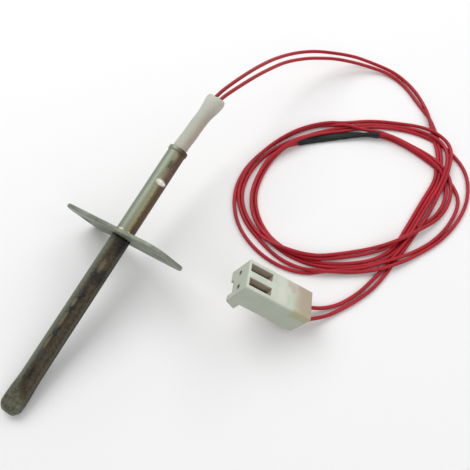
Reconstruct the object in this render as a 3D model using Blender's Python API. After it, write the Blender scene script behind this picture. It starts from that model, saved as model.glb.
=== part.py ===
"""Flame sensor probe: a closed steel sheath in a welded mounting flange, with two leads and a plug.

Metres, +Z up, table at z = 0. The probe points its closed tip towards -Y and lies on that tip and on
one rounded corner of its flange. The origin is under the middle of the probe, without its leads.
"""

import math

import bmesh
import bpy
import numpy as np
from mathutils import Euler, Matrix, Vector

MM = 0.001

# Sheath, measured along its axis from the tip
PROBE_Y = -44.1 * MM
SHEATH_RADIUS = 2.5 * MM
REAR_RADIUS = 2.4 * MM
BORE_RADIUS = 2.1 * MM
SHEATH_END = 73.6 * MM
BORE_START = 4.0 * MM
LIP_LENGTH = 1.1 * MM
LIP_GROWTH = 0.2 * MM
PRESS_LENGTH = 9.0 * MM
PRESS_HALF_WIDTH = 2.8 * MM
PRESS_HALF_HEIGHT = 1.85 * MM
PRESS_SHIFT = -0.05 * MM
TIP_START = -0.9 * MM
TIP_ROUNDING = 2.2 * MM
CRIMP_STATION = 63.5 * MM
CRIMP_ANGLE = math.radians(42)
CRIMP_DEPTH = 0.5 * MM
CRIMP_LENGTH = 0.9 * MM
CRIMP_SPREAD = math.radians(30)
CRIMP_INNER_SHARE = 0.9

# Mounting flange, turned about the sheath
FLANGE_STATION = 47.4 * MM
FLANGE_LENGTH = 36.0 * MM
FLANGE_WIDTH = 14.0 * MM
FLANGE_THICKNESS = 1.0 * MM
FLANGE_CORNER = 4.1 * MM
FLANGE_TURN = math.radians(22)
SCREW_OFFSET = 14.2 * MM
SCREW_RADIUS = 1.7 * MM
TACK_ANGLES = (math.radians(54), math.radians(91), math.radians(245))
TACK_HALF_ANGLE = math.radians(15)
TACK_SIZE = 0.7 * MM

# Parts inside the sheath
CHIP_SIZE = (2.0 * MM, 5.0 * MM, 0.9 * MM)
CHIP_STATION = 6.4 * MM
FILLING_START = 4.6 * MM
FILLING_END = 12.6 * MM
INSULATOR_START = 13.0 * MM
INSULATOR_END = 50.0 * MM
INSULATOR_RADIUS = 1.8 * MM
LEG_OFFSET = 0.75 * MM
LEG_RADIUS = 0.2 * MM
SPLICE_OFFSET = 0.92 * MM
SPLICE_START = 51.5 * MM
SPLICE_END = 56.5 * MM
SPLICE_OVERLAP = 0.4 * MM
SPLICE_RADII = (0.66 * MM, 0.86 * MM)
CRIMP_RADII = (0.3 * MM, 0.58 * MM)
CONDUCTOR_RADIUS = 0.25 * MM

# Braided sleeve at the rear
BRAID_START = 65.8 * MM
BRAID_END = 90.0 * MM
BRAID_RADIUS = 1.86 * MM
BRAID_BORE = 1.36 * MM
BRAID_FLARE = 0.65 * MM
BRAID_FLARE_LENGTH = 6.0 * MM
BRAID_BEND = 0.75 * MM
BRAID_BEND_LENGTH = 10.0 * MM
BRAID_SET = 0.35 * MM
BRAID_SET_START = 74.0 * MM
BRAID_SET_LENGTH = 6.0 * MM

# Leads: route points in millimetres, from the braid to the coil and from the coil to the plug
LEAD_RADIUS = 0.5 * MM
LEAD_SPREAD = 0.62 * MM
MOUTH_PLACES = (0.42 * MM, 1.72 * MM)
BARE_START = 2.3 * MM
BARE_END = 0.6 * MM
POINT_STEP = 2.8 * MM
TOUCH_GAP = 0.3 * MM
EXIT_ROUTE_A = (
    (0.4, 43.8, 21.2), (1.4, 47.6, 21.9), (3.0, 54.3, 21.5), (4.1, 61.9, 19.3), (5.2, 69.7, 16.0),
    (7.4, 77.7, 12.3), (10.7, 84.6, 8.8), (15.1, 90.2, 5.6), (19.5, 94.1, 3.3), (23.6, 96.1, 1.9),
    (30.0, 97.2, 1.0), (34.1, 97.1, 0.7), (39.6, 95.1, 0.8), (43.5, 92.4, 1.3), (47.2, 88.6, 1.8),
    (51.4, 82.8, 2.0),
)
EXIT_ROUTE_B = (
    (1.75, 43.6, 21.1), (3.0, 47.4, 21.6), (4.9, 55.1, 20.6), (6.1, 62.8, 18.0), (7.5, 71.2, 14.3),
    (10.2, 78.5, 10.8), (12.9, 83.4, 8.2), (16.3, 87.9, 5.8), (20.6, 91.7, 3.5), (24.6, 94.0, 2.0),
    (30.2, 95.6, 1.0), (34.5, 95.4, 0.7), (39.2, 93.4, 0.8), (42.7, 90.6, 1.3), (45.8, 87.2, 1.8),
    (49.1, 82.7, 2.0),
)
END_ROUTE_A = (
    (57.6, 30.0, 0.6), (56.8, 26.2, 0.6), (55.7, 23.3, 0.6), (54.1, 20.2, 0.6), (52.0, 17.4, 0.62),
    (49.6, 15.2, 0.95), (47.4, 13.6, 2.1),
)
END_ROUTE_B = (
    (60.3, 32.8, 0.6), (58.8, 27.6, 0.6), (57.4, 23.9, 0.6), (55.7, 20.4, 0.6), (53.7, 17.0, 0.62),
    (51.6, 13.9, 1.1), (49.1, 10.9, 2.7),
)

# Coil of both leads, the space between two ellipses
COIL_CENTRE = (41.1 * MM, 50.3 * MM)
COIL_AXES = (35.3 * MM, 25.1 * MM)
COIL_TURN = math.radians(50.7)
COIL_HEIGHT = 3.6 * MM
COIL_SECTION = (
    (0.12, 0.0), (0.88, 0.0), (1.0, 0.25), (1.0, 0.7), (0.82, 1.0), (0.18, 1.0), (0.0, 0.7), (0.0, 0.25),
)
HOLE_CENTRE = (38.4 * MM, 50.6 * MM)
HOLE_AXES = (28.0 * MM, 20.0 * MM)
HOLE_TURN = math.radians(52)
SHRINK_RADIUS = 1.3 * MM
SHRINK_ARC = (math.radians(48), math.radians(103))

# Plug housing, measured from its mating face, its near side and its underside
HOUSING_SIZE = (18.75 * MM, 7.9 * MM, 7.4 * MM)
HOUSING_PLACE = Vector((30.96, 1.72, 11.66)) * MM
HOUSING_ROLL = math.radians(-14.3)
HOUSING_DIP = math.radians(32.3)
HOUSING_HEADING = math.radians(15.4)
HOUSING_BEVEL = 0.25 * MM
CONTACT_PITCH = 3.96 * MM
CAVITY_SIZE = (2.9 * MM, 3.3 * MM)
CAVITY_HEIGHT = 3.5 * MM
CAVITY_START = 0.5 * MM
WINDOW_START = 0.5 * MM
WINDOW_END = 6.8 * MM
WINDOW_WIDTH = 2.2 * MM
PIN_HOLE_RADIUS = 0.62 * MM
HOOK_LENGTH = 3.0 * MM
HOOK_STEP = 0.2 * MM
NEAR_HOOK = (0.0, 1.5 * MM)
NEAR_HOOK_DROPS = (1.0 * MM, 2.4 * MM)
FAR_HOOK = (5.0 * MM, 7.9 * MM)
FAR_HOOK_DROPS = (0.15 * MM, 0.4 * MM)
NOSE_RECESS = 1.0 * MM
NOSE_LENGTH = 4.2 * MM
CONTACT_SIDES = 24

# Contact sections: station, half width, half height, squareness and wall
CONTACT_SECTIONS = (
    (0.9 * MM, 1.15 * MM, 1.35 * MM, 8, 0.25 * MM),
    (8.0 * MM, 1.15 * MM, 1.35 * MM, 8, 0.25 * MM),
    (9.2 * MM, 0.8 * MM, 0.9 * MM, 5, 0.22 * MM),
    (10.2 * MM, 0.75 * MM, 0.8 * MM, 3, 0.2 * MM),
    (14.0 * MM, 0.8 * MM, 0.8 * MM, 2, 0.2 * MM),
)

CLEARANCE = 0.03 * MM
SIDES = 36
WIRE_SIDES = 12


def clear_scene():
    for old in list(bpy.data.objects):
        bpy.data.objects.remove(old, do_unlink=True)


def material(name, colour, roughness, metallic=0.0):
    made = bpy.data.materials.new(name)
    made.use_nodes = True
    shader = made.node_tree.nodes["Principled BSDF"]
    shader.inputs["Base Color"].default_value = (*colour, 1.0)
    shader.inputs["Roughness"].default_value = roughness
    shader.inputs["Metallic"].default_value = metallic
    return made


def place(name, mesh, finish, parent=None):
    """Links the mesh as a smooth object with sharp corners, under the parent's frame."""
    mesh.shade_smooth()
    mesh.set_sharp_from_angle(angle=math.radians(35))
    mesh.materials.append(finish)
    made = bpy.data.objects.new(name, mesh)
    bpy.context.scene.collection.objects.link(made)
    made.parent = parent
    return made


def skin(name, rings, closed=False):
    """A mesh over equal rings of points: the ends are capped, or joined to each other where closed."""
    count = len(rings[0])
    points = np.concatenate(rings)
    faces = []
    last = len(rings) if closed else len(rings) - 1
    for ring in range(last):
        near = ring * count
        far = (ring + 1) % len(rings) * count
        for side in range(count):
            turn = (side + 1) % count
            faces.append((near + side, near + turn, far + turn, far + side))
    if not closed:
        faces.append(tuple(range(count))[::-1])
        faces.append(tuple(range(len(points) - count, len(points))))
    mesh = bpy.data.meshes.new(name)
    mesh.from_pydata(points.tolist(), [], faces)
    work = bmesh.new()
    work.from_mesh(mesh)
    bmesh.ops.recalc_face_normals(work, faces=work.faces)
    work.to_mesh(mesh)
    work.free()
    return mesh


def angles(count):
    return np.arange(count) * (2 * math.pi / count)


def ring_at(station, half_width, half_height, power=2.0, shift=0.0, count=SIDES):
    """A superellipse across the probe's axis."""
    turn = angles(count)
    across = np.sign(np.cos(turn)) * np.abs(np.cos(turn)) ** (2 / power) * half_width + shift
    up = np.sign(np.sin(turn)) * np.abs(np.sin(turn)) ** (2 / power) * half_height
    return np.stack([across, np.full(count, station), up], axis=1)


def turned(name, outline, finish, parent, closed=False, count=SIDES):
    """A turned piece: the outline is (radius, station) down the probe's axis."""
    rings = [ring_at(station, radius, radius, count=count) for radius, station in outline]
    return place(name, skin(name, rings, closed), finish, parent)


def smooth_path(route, step):
    """Points about one step apart on a Catmull-Rom curve through the route's points."""
    knots = np.array(route, float)
    knots = np.vstack([2 * knots[0] - knots[1], knots, 2 * knots[-1] - knots[-2]])
    fine = []
    for before, start, end, after in zip(knots, knots[1:], knots[2:], knots[3:]):
        share = np.linspace(0, 1, 24, endpoint=False)[:, None]
        fine.append(
            0.5 * (
                2 * start
                + (end - before) * share
                + (2 * before - 5 * start + 4 * end - after) * share**2
                + (3 * start - before - 3 * end + after) * share**3
            )
        )
    fine = np.vstack([*fine, knots[-2:-1]])
    run = np.concatenate([[0], np.cumsum(np.linalg.norm(np.diff(fine, axis=0), axis=1))])
    wanted = np.linspace(0, run[-1], max(2, round(run[-1] / step) + 1))
    return np.stack([np.interp(wanted, run, fine[:, axis]) for axis in range(3)], axis=1)


def tube(name, points, radius, finish, parent=None):
    """A filled tube along the points."""
    curve = bpy.data.curves.new(name, "CURVE")
    curve.dimensions = "3D"
    curve.bevel_depth = radius
    curve.bevel_resolution = 2
    curve.use_fill_caps = True
    spline = curve.splines.new("POLY")
    spline.points.add(len(points) - 1)
    for point, place_of in zip(spline.points, points):
        point.co = (*place_of, 1.0)
    curve.materials.append(finish)
    made = bpy.data.objects.new(name, curve)
    bpy.context.scene.collection.objects.link(made)
    made.parent = parent
    return made


def box_mesh(name, low, high):
    work = bmesh.new()
    middle = [(a + b) / 2 for a, b in zip(low, high)]
    size = [b - a for a, b in zip(low, high)]
    bmesh.ops.create_cube(work, size=1.0, matrix=Matrix.LocRotScale(middle, None, size))
    mesh = bpy.data.meshes.new(name)
    work.to_mesh(mesh)
    work.free()
    return mesh


def cylinder_mesh(name, radius, start, end, across, height, count=24):
    """A cylinder along the part's own Y axis, centred on (across, height)."""
    rings = [ring_at(station, radius, radius, count=count) + (across, 0, height) for station in (start, end)]
    return skin(name, rings)


def cut(target, cutter_mesh, operation="DIFFERENCE"):
    """Cuts the mesh from the target, or joins it to the target."""
    cutter = bpy.data.objects.new(cutter_mesh.name, cutter_mesh)
    bpy.context.scene.collection.objects.link(cutter)
    cutter.parent = target.parent
    cutter.hide_render = True
    cutter.display_type = "WIRE"
    modifier = target.modifiers.new(cutter_mesh.name, "BOOLEAN")
    modifier.operation = operation
    modifier.object = cutter


def ease(share):
    """0 before the start, 1 past the end, with level ends."""
    share = np.clip(share, 0, 1)
    return share * share * (3 - 2 * share)


# ---- probe frame


def press_section(station):
    """Half width, half height, squareness and sideways shift of the sheath's pressed tip at a station."""
    pressed = 1 - ease((station - TIP_ROUNDING) / (PRESS_LENGTH - TIP_ROUNDING))
    width = SHEATH_RADIUS + (PRESS_HALF_WIDTH - SHEATH_RADIUS) * pressed
    height = SHEATH_RADIUS + (PRESS_HALF_HEIGHT - SHEATH_RADIUS) * pressed
    rounding = max(0.0, 1 - (station - TIP_START) / TIP_ROUNDING)
    width *= 1 - 0.42 * rounding**2.4
    height *= 1 - 0.6 * rounding**2.2
    return width, height, 2 + 0.6 * pressed, PRESS_SHIFT * pressed


def flange_reach():
    """How far the flange's lowest rounded corner lies from the axis."""
    along = FLANGE_LENGTH / 2 - FLANGE_CORNER
    across = FLANGE_WIDTH / 2 - FLANGE_CORNER
    return along * math.sin(FLANGE_TURN) + across * math.cos(FLANGE_TURN) + FLANGE_CORNER


def resting_pose():
    """Pitch of the axis and height of the tip's centre, with the tip and a flange corner on the table."""
    front = FLANGE_STATION - FLANGE_THICKNESS / 2
    pitch = math.radians(12.5)
    for _ in range(12):
        height = max(
            press_section(station)[1] * math.cos(pitch) - station * math.sin(pitch)
            for station in np.linspace(TIP_START, PRESS_LENGTH, 200)
        )
        reach = math.hypot(front, flange_reach())
        pitch = math.atan2(flange_reach(), front) - math.asin(height / reach)
    return pitch, height


def probe_frame():
    pitch, height = resting_pose()
    frame = bpy.data.objects.new("probe_axis", None)
    frame.location = (0.0, PROBE_Y, height)
    frame.rotation_euler = (pitch, 0.0, 0.0)
    bpy.context.scene.collection.objects.link(frame)
    return frame


# ---- sheath and flange


def crimped(ring, depth):
    """Presses a short cross dent into a ring of the sheath."""
    turn = np.arctan2(ring[:, 2], ring[:, 0]) - CRIMP_ANGLE
    turn = (turn + math.pi) % (2 * math.pi) - math.pi
    along = (ring[:, 1] - CRIMP_STATION) / CRIMP_LENGTH
    dent = depth * np.exp(-(along**2)) * np.exp(-((turn / CRIMP_SPREAD) ** 4))
    radius = np.hypot(ring[:, 0], ring[:, 2])
    pressed = ring.copy()
    pressed[:, 0] *= 1 - dent / radius
    pressed[:, 2] *= 1 - dent / radius
    return pressed


def add_sheath(steel, probe):
    crimp_stations = CRIMP_STATION + CRIMP_LENGTH * np.linspace(-2.2, 2.2, 9)
    inner = [ring_at(BORE_START, 1.5 * MM, 0.75 * MM)]
    inner.append(ring_at(PRESS_LENGTH * 0.6, 1.95 * MM, 1.45 * MM))
    inner.append(ring_at(PRESS_LENGTH, BORE_RADIUS, BORE_RADIUS))
    inner += [ring_at(station, BORE_RADIUS, BORE_RADIUS) for station in crimp_stations]
    inner.append(ring_at(SHEATH_END - 0.2 * MM, BORE_RADIUS, BORE_RADIUS))
    inner.append(ring_at(SHEATH_END, BORE_RADIUS + 0.12 * MM, BORE_RADIUS + 0.12 * MM))
    lip = REAR_RADIUS + LIP_GROWTH
    outer = [ring_at(SHEATH_END, lip - 0.12 * MM, lip - 0.12 * MM)]
    outer.append(ring_at(SHEATH_END - 0.15 * MM, lip, lip))
    outer.append(ring_at(SHEATH_END - LIP_LENGTH * 0.6, lip, lip))
    outer.append(ring_at(SHEATH_END - LIP_LENGTH, REAR_RADIUS, REAR_RADIUS))
    outer += [ring_at(station, REAR_RADIUS, REAR_RADIUS) for station in crimp_stations[::-1]]
    shoulder = FLANGE_STATION - FLANGE_THICKNESS / 2 - CLEARANCE
    outer.append(ring_at(shoulder, REAR_RADIUS, REAR_RADIUS))
    outer.append(ring_at(shoulder, SHEATH_RADIUS, SHEATH_RADIUS))
    for share in np.linspace(1, 0, 26) ** 1.6:
        station = TIP_START + (PRESS_LENGTH - TIP_START) * share
        outer.append(ring_at(station, *press_section(station)))
    rings = [crimped(ring, CRIMP_DEPTH * CRIMP_INNER_SHARE) for ring in inner]
    rings += [crimped(ring, CRIMP_DEPTH) for ring in outer]
    place("sheath_tube", skin("sheath_tube", rings), steel, probe)


def flange_outline(inset, station):
    """The flange's rounded outline, drawn in by the inset, turned about the axis."""
    corner = FLANGE_CORNER - inset
    points = []
    for quarter, (side, level) in enumerate(((1, 1), (-1, 1), (-1, -1), (1, -1))):
        for turn in np.linspace(quarter, quarter + 1, 8) * math.pi / 2:
            across = side * (FLANGE_LENGTH / 2 - FLANGE_CORNER) + corner * math.cos(turn)
            up = level * (FLANGE_WIDTH / 2 - FLANGE_CORNER) + corner * math.sin(turn)
            points.append((across, up))
    flat = np.array(points)
    cosine, sine = math.cos(FLANGE_TURN), math.sin(FLANGE_TURN)
    across = flat[:, 0] * cosine - flat[:, 1] * sine
    up = flat[:, 0] * sine + flat[:, 1] * cosine
    return np.stack([across, np.full(len(flat), station), up], axis=1)


def add_flange(steel, probe):
    front = FLANGE_STATION - FLANGE_THICKNESS / 2
    back = FLANGE_STATION + FLANGE_THICKNESS / 2
    edge = 0.12 * MM
    rings = [
        flange_outline(edge, front),
        flange_outline(0.0, front + edge),
        flange_outline(0.0, back - edge),
        flange_outline(edge, back),
    ]
    flange = place("mounting_flange", skin("mounting_flange", rings), steel, probe)
    reach = (front - 2 * MM, back + 2 * MM)
    cut(flange, cylinder_mesh("flange_bore", REAR_RADIUS + CLEARANCE, *reach, 0.0, 0.0, SIDES))
    for name, side in (("left", -1), ("right", 1)):
        across = side * SCREW_OFFSET * math.cos(FLANGE_TURN)
        up = side * SCREW_OFFSET * math.sin(FLANGE_TURN)
        cut(flange, cylinder_mesh(f"screw_hole_{name}", SCREW_RADIUS, *reach, across, up))


def add_tacks(weld, probe):
    """Short welds in the corner behind the flange, thickest in the middle."""
    back = FLANGE_STATION + FLANGE_THICKNESS / 2 + CLEARANCE
    inner = REAR_RADIUS + CLEARANCE
    for number, middle in enumerate(TACK_ANGLES, 1):
        rings = []
        for share in np.linspace(-0.97, 0.97, 9):
            size = TACK_SIZE * math.sqrt(1 - share**2)
            arc = np.linspace(0, math.pi / 2, 6)
            radius = np.append(inner + size * np.cos(arc), inner)
            station = np.append(back + size * np.sin(arc), back)
            turn = middle + share * TACK_HALF_ANGLE
            rings.append(np.stack([radius * math.cos(turn), station, radius * math.sin(turn)], axis=1))
        place(f"flange_tack_{number}", skin(f"flange_tack_{number}", rings), weld, probe)


# ---- inside the sheath


def add_sensor(ceramic, powder, platinum, probe):
    width, length, height = CHIP_SIZE
    low = (-width / 2, CHIP_STATION, -height / 2)
    high = (width / 2, CHIP_STATION + length, height / 2)
    place("sensor_chip", box_mesh("sensor_chip", low, high), ceramic, probe)
    tip_size = (1.35 * MM, 0.62 * MM)
    rings = [
        ring_at(FILLING_START, *tip_size),
        ring_at(PRESS_LENGTH * 0.62, 1.75 * MM, 1.3 * MM),
        ring_at(PRESS_LENGTH, BORE_RADIUS - 0.1 * MM, BORE_RADIUS - 0.1 * MM),
        ring_at(FILLING_END, BORE_RADIUS - 0.1 * MM, BORE_RADIUS - 0.1 * MM),
    ]
    filling = place("tip_filling", skin("tip_filling", rings), powder, probe)
    gap = 0.1 * MM
    pocket_low = (low[0] - gap, low[1] - gap, low[2] - gap)
    pocket_high = (high[0] + gap, FILLING_END + 1 * MM, high[2] + gap)
    cut(filling, box_mesh("chip_pocket", pocket_low, pocket_high))
    outline = ((INSULATOR_RADIUS, INSULATOR_START), (INSULATOR_RADIUS, INSULATOR_END))
    insulator = turned("ceramic_insulator", outline, ceramic, probe, count=28)
    for name, side in (("a", -1), ("b", 1)):
        reach = (INSULATOR_START - 1 * MM, INSULATOR_END + 1 * MM)
        cut(insulator, cylinder_mesh(f"leg_bore_{name}", 0.36 * MM, *reach, side * LEG_OFFSET, 0.0, 16))
        start = CHIP_STATION + length + 0.1 * MM
        splice = side * SPLICE_OFFSET
        leg = ((start, side * 0.6 * MM), (INSULATOR_START, side * LEG_OFFSET),
               (INSULATOR_END + 0.2 * MM, side * LEG_OFFSET), (SPLICE_START - 0.2 * MM, splice),
               (SPLICE_START + 1.9 * MM, splice))
        tube(f"sensor_leg_{name}", [(x, y, 0.0) for y, x in leg], LEG_RADIUS, platinum, probe)


def shifted_tube(name, bore, radius, start, end, across, finish, probe):
    """An open straight barrel beside the axis."""
    outline = ((bore, start), (radius, start), (radius, end), (bore, end))
    rings = [ring_at(station, size, size, shift=across, count=16) for size, station in outline]
    place(name, skin(name, rings, closed=True), finish, probe)


def add_splices(copper, glass, probe):
    for name, side in (("a", -1), ("b", 1)):
        across = side * SPLICE_OFFSET
        span = (SPLICE_START, SPLICE_END)
        shifted_tube(f"splice_crimp_{name}", *CRIMP_RADII, *span, across, copper, probe)
        span = (SPLICE_START - SPLICE_OVERLAP, SPLICE_END + SPLICE_OVERLAP)
        shifted_tube(f"splice_sleeve_{name}", *SPLICE_RADII, *span, across, glass, probe)


def braid_set(station):
    """Sideways shift of the sleeve just past the sheath."""
    return BRAID_SET * ease((station - BRAID_SET_START) / BRAID_SET_LENGTH)


def braid_shift(station):
    """Sideways shift of the braided sleeve, with the bend towards its mouth."""
    bend_start = BRAID_END - BRAID_BEND_LENGTH
    return braid_set(station) + BRAID_BEND * ease((station - bend_start) / BRAID_BEND_LENGTH)


def braid_flare(station):
    return BRAID_FLARE * ease((station - BRAID_END + BRAID_FLARE_LENGTH) / BRAID_FLARE_LENGTH)


def add_inner_leads(copper_red, probe):
    """Insulated wires with bare ends in the splices, running down the braided sleeve to its mouth."""
    bend_start = BRAID_END - BRAID_BEND_LENGTH
    for name, side, mouth in (("a", -1, MOUTH_PLACES[0]), ("b", 1, MOUTH_PLACES[1])):
        splice = side * SPLICE_OFFSET
        spread = side * LEAD_SPREAD
        path = [
            (SPLICE_START + BARE_START, splice, CONDUCTOR_RADIUS),
            (SPLICE_END + BARE_END, splice, CONDUCTOR_RADIUS),
            (SPLICE_END + BARE_END, splice, LEAD_RADIUS),
            (SPLICE_END + 2 * BARE_END, splice, LEAD_RADIUS),
        ]
        path += [(station, spread, LEAD_RADIUS) for station in (BRAID_START, BRAID_SET_START)]
        for station in np.linspace(BRAID_SET_START, BRAID_END - TOUCH_GAP, 12)[1:]:
            share = ease((station - bend_start) / BRAID_BEND_LENGTH)
            path.append((station, (spread + braid_set(station)) * (1 - share) + mouth * share, LEAD_RADIUS))
        rings = [ring_at(along, size, size, shift=across, count=WIRE_SIDES) for along, across, size in path]
        place(f"inner_lead_{name}", skin(f"inner_lead_{name}", rings), copper_red, probe)


def add_braid(braid, cement, probe):
    outer, inner = [], []
    stations = np.append(BRAID_START, np.linspace(BRAID_SET_START, BRAID_END, 16))
    for station in stations:
        shift, flare = braid_shift(station), braid_flare(station)
        outer.append(ring_at(station, BRAID_RADIUS + flare, BRAID_RADIUS + flare, shift=shift))
        inner.append(ring_at(station, BRAID_BORE + flare, BRAID_BORE + flare, shift=shift))
    place("braided_sleeve", skin("braided_sleeve", outer + inner[::-1], closed=True), braid, probe)
    seal_in, seal_out = BRAID_RADIUS + 0.04 * MM, BORE_RADIUS - 0.04 * MM
    start, end = SHEATH_END - 4.5 * MM, SHEATH_END - 0.25 * MM
    outline = ((seal_in, start), (seal_out, start), (seal_out, end), (seal_in, end + 0.3 * MM))
    turned("mouth_seal", outline, cement, probe, closed=True)


# ---- leads


def add_leads(red, black):
    routes = (("lead_a_exit", EXIT_ROUTE_A), ("lead_b_exit", EXIT_ROUTE_B),
              ("lead_a_end", END_ROUTE_A), ("lead_b_end", END_ROUTE_B))
    for name, route in routes:
        points = np.array(route) * MM
        if name.endswith("end"):
            points = np.vstack([points, contact_entry(name[5])])
        tube(name, smooth_path(points, POINT_STEP), LEAD_RADIUS, red)
    turn = np.linspace(*SHRINK_ARC, 12)
    drawn_in = SHRINK_RADIUS + TOUCH_GAP
    across, up = ellipse(HOLE_CENTRE, [axis - drawn_in for axis in HOLE_AXES], HOLE_TURN, turn)
    path = np.stack([across, up, np.full(len(turn), SHRINK_RADIUS)], axis=1)
    tube("heat_shrink_sleeve", path, SHRINK_RADIUS, black)


def ellipse(centre, axes, turned_by, turn):
    along, aside = axes[0] * np.cos(turn), axes[1] * np.sin(turn)
    across = centre[0] + along * math.cos(turned_by) - aside * math.sin(turned_by)
    up = centre[1] + along * math.sin(turned_by) + aside * math.cos(turned_by)
    return across, up


def add_coil(red):
    """The coil's outer shape: a rounded band between the outer and the inner ellipse."""
    corner = np.array(COIL_SECTION)
    rings = []
    for turn in angles(56):
        outer = ellipse(COIL_CENTRE, COIL_AXES, COIL_TURN, turn)
        inner = ellipse(HOLE_CENTRE, HOLE_AXES, HOLE_TURN, turn)
        across = inner[0] + (outer[0] - inner[0]) * corner[:, 0]
        up = inner[1] + (outer[1] - inner[1]) * corner[:, 0]
        rings.append(np.stack([across, up, corner[:, 1] * COIL_HEIGHT], axis=1))
    place("lead_coil", skin("lead_coil", rings, closed=True), red)


# ---- plug housing


def housing_matrix():
    turn = Euler((HOUSING_ROLL, HOUSING_DIP, HOUSING_HEADING)).to_matrix().to_4x4()
    return Matrix.Translation(HOUSING_PLACE) @ turn


def contact_side(name):
    """Distance of a contact from the housing's near side."""
    side = 1 if name == "a" else -1
    return HOUSING_SIZE[1] / 2 + side * CONTACT_PITCH / 2


def contact_entry(name):
    """Where a lead runs straight into its contact: just outside the housing and just short of the barrel."""
    to_world = housing_matrix()
    stations = (HOUSING_SIZE[0] + 0.4 * MM, 16.5 * MM, 14.4 * MM)
    return [to_world @ Vector((station, contact_side(name), CAVITY_HEIGHT)) for station in stations]


def hook_mesh(name, reach, drops):
    """A ramped locking foot under the nose of the housing: it hangs lower at its back than at its front."""
    root = NOSE_RECESS + 0.4 * MM
    back = HOOK_LENGTH + HOOK_STEP
    profile = ((0.0, root), (0.0, -drops[0]), (HOOK_LENGTH, -drops[1]), (back, root))
    near, far = reach[0] + 0.01 * MM, reach[1] - 0.01 * MM
    rings = [np.array([(along, side, up) for along, up in profile]) for side in (near, far)]
    return skin(name, rings)


def add_housing(nylon, tin):
    frame = bpy.data.objects.new("housing_frame", None)
    frame.matrix_world = housing_matrix()
    bpy.context.scene.collection.objects.link(frame)
    length, width, height = HOUSING_SIZE
    housing = place("connector_housing", box_mesh("connector_housing", (0, 0, 0), HOUSING_SIZE), nylon, frame)
    low, high = (-1 * MM, NEAR_HOOK[1], -1 * MM), (NOSE_LENGTH, FAR_HOOK[0], NOSE_RECESS)
    cut(housing, box_mesh("nose_recess", low, high))
    cut(housing, hook_mesh("near_hook", NEAR_HOOK, NEAR_HOOK_DROPS), "UNION")
    cut(housing, hook_mesh("far_hook", FAR_HOOK, FAR_HOOK_DROPS), "UNION")
    across, up = CAVITY_SIZE[0] / 2, CAVITY_SIZE[1] / 2
    for name in ("a", "b"):
        side = contact_side(name)
        low = (CAVITY_START, side - across, CAVITY_HEIGHT - up)
        high = (length + 1 * MM, side + across, CAVITY_HEIGHT + up)
        cut(housing, box_mesh(f"cavity_{name}", low, high))
        low = (WINDOW_START, side - WINDOW_WIDTH / 2, CAVITY_HEIGHT)
        high = (WINDOW_END, side + WINDOW_WIDTH / 2, height + 1 * MM)
        cut(housing, box_mesh(f"window_{name}", low, high))
        pin = cylinder_mesh(f"pin_hole_{name}", PIN_HOLE_RADIUS, -1 * MM, CAVITY_START + 1 * MM, 0.0, 0.0, 16)
        pin.transform(Matrix.Translation((0, side, CAVITY_HEIGHT)) @ Matrix.Rotation(-math.pi / 2, 4, "Z"))
        cut(housing, pin)
        add_contact(name, side, tin, frame)
    edges = housing.modifiers.new("edges", "BEVEL")
    edges.width = HOUSING_BEVEL
    edges.segments = 1
    edges.angle_limit = math.radians(60)


def add_contact(name, side, tin, frame):
    """A receptacle: a square box at the front, a neck, and a round barrel crimped on the wire."""
    outer, inner = [], []
    for station, half_width, half_height, power, wall in CONTACT_SECTIONS:
        outer.append(ring_at(station, half_width, half_height, power, count=CONTACT_SIDES))
        inner.append(ring_at(station, half_width - wall, half_height - wall, power, count=CONTACT_SIDES))
    mesh = skin(f"contact_{name}", outer + inner[::-1], closed=True)
    turn = Matrix.Rotation(-math.pi / 2, 4, "Z")
    mesh.transform(Matrix.Translation((0, side, CAVITY_HEIGHT)) @ turn)
    place(f"contact_{name}", mesh, tin, frame)


def main():
    clear_scene()
    steel = material("stained_steel", (0.30, 0.27, 0.20), 0.42, 1.0)
    plate = material("flange_steel", (0.50, 0.50, 0.44), 0.38, 1.0)
    weld = material("weld_metal", (0.80, 0.74, 0.62), 0.25, 1.0)
    ceramic = material("white_ceramic", (0.86, 0.84, 0.78), 0.55)
    powder = material("fill_powder", (0.80, 0.76, 0.68), 0.9)
    platinum = material("leg_wire", (0.75, 0.74, 0.72), 0.3, 1.0)
    copper = material("splice_metal", (0.78, 0.62, 0.48), 0.35, 1.0)
    glass = material("glass_fibre", (0.88, 0.87, 0.80), 0.7)
    cement = material("mouth_cement", (0.74, 0.74, 0.66), 0.85)
    red = material("red_insulation", (0.55, 0.02, 0.05), 0.32)
    black = material("black_shrink", (0.02, 0.03, 0.03), 0.4)
    nylon = material("white_nylon", (0.82, 0.83, 0.76), 0.35)
    tin = material("tinned_contact", (0.72, 0.62, 0.52), 0.35, 1.0)
    probe = probe_frame()
    add_sheath(steel, probe)
    add_flange(plate, probe)
    add_tacks(weld, probe)
    add_sensor(ceramic, powder, platinum, probe)
    add_splices(copper, glass, probe)
    add_inner_leads(red, probe)
    add_braid(glass, cement, probe)
    add_leads(red, black)
    add_coil(red)
    add_housing(nylon, tin)


main()
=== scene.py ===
import math

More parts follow.
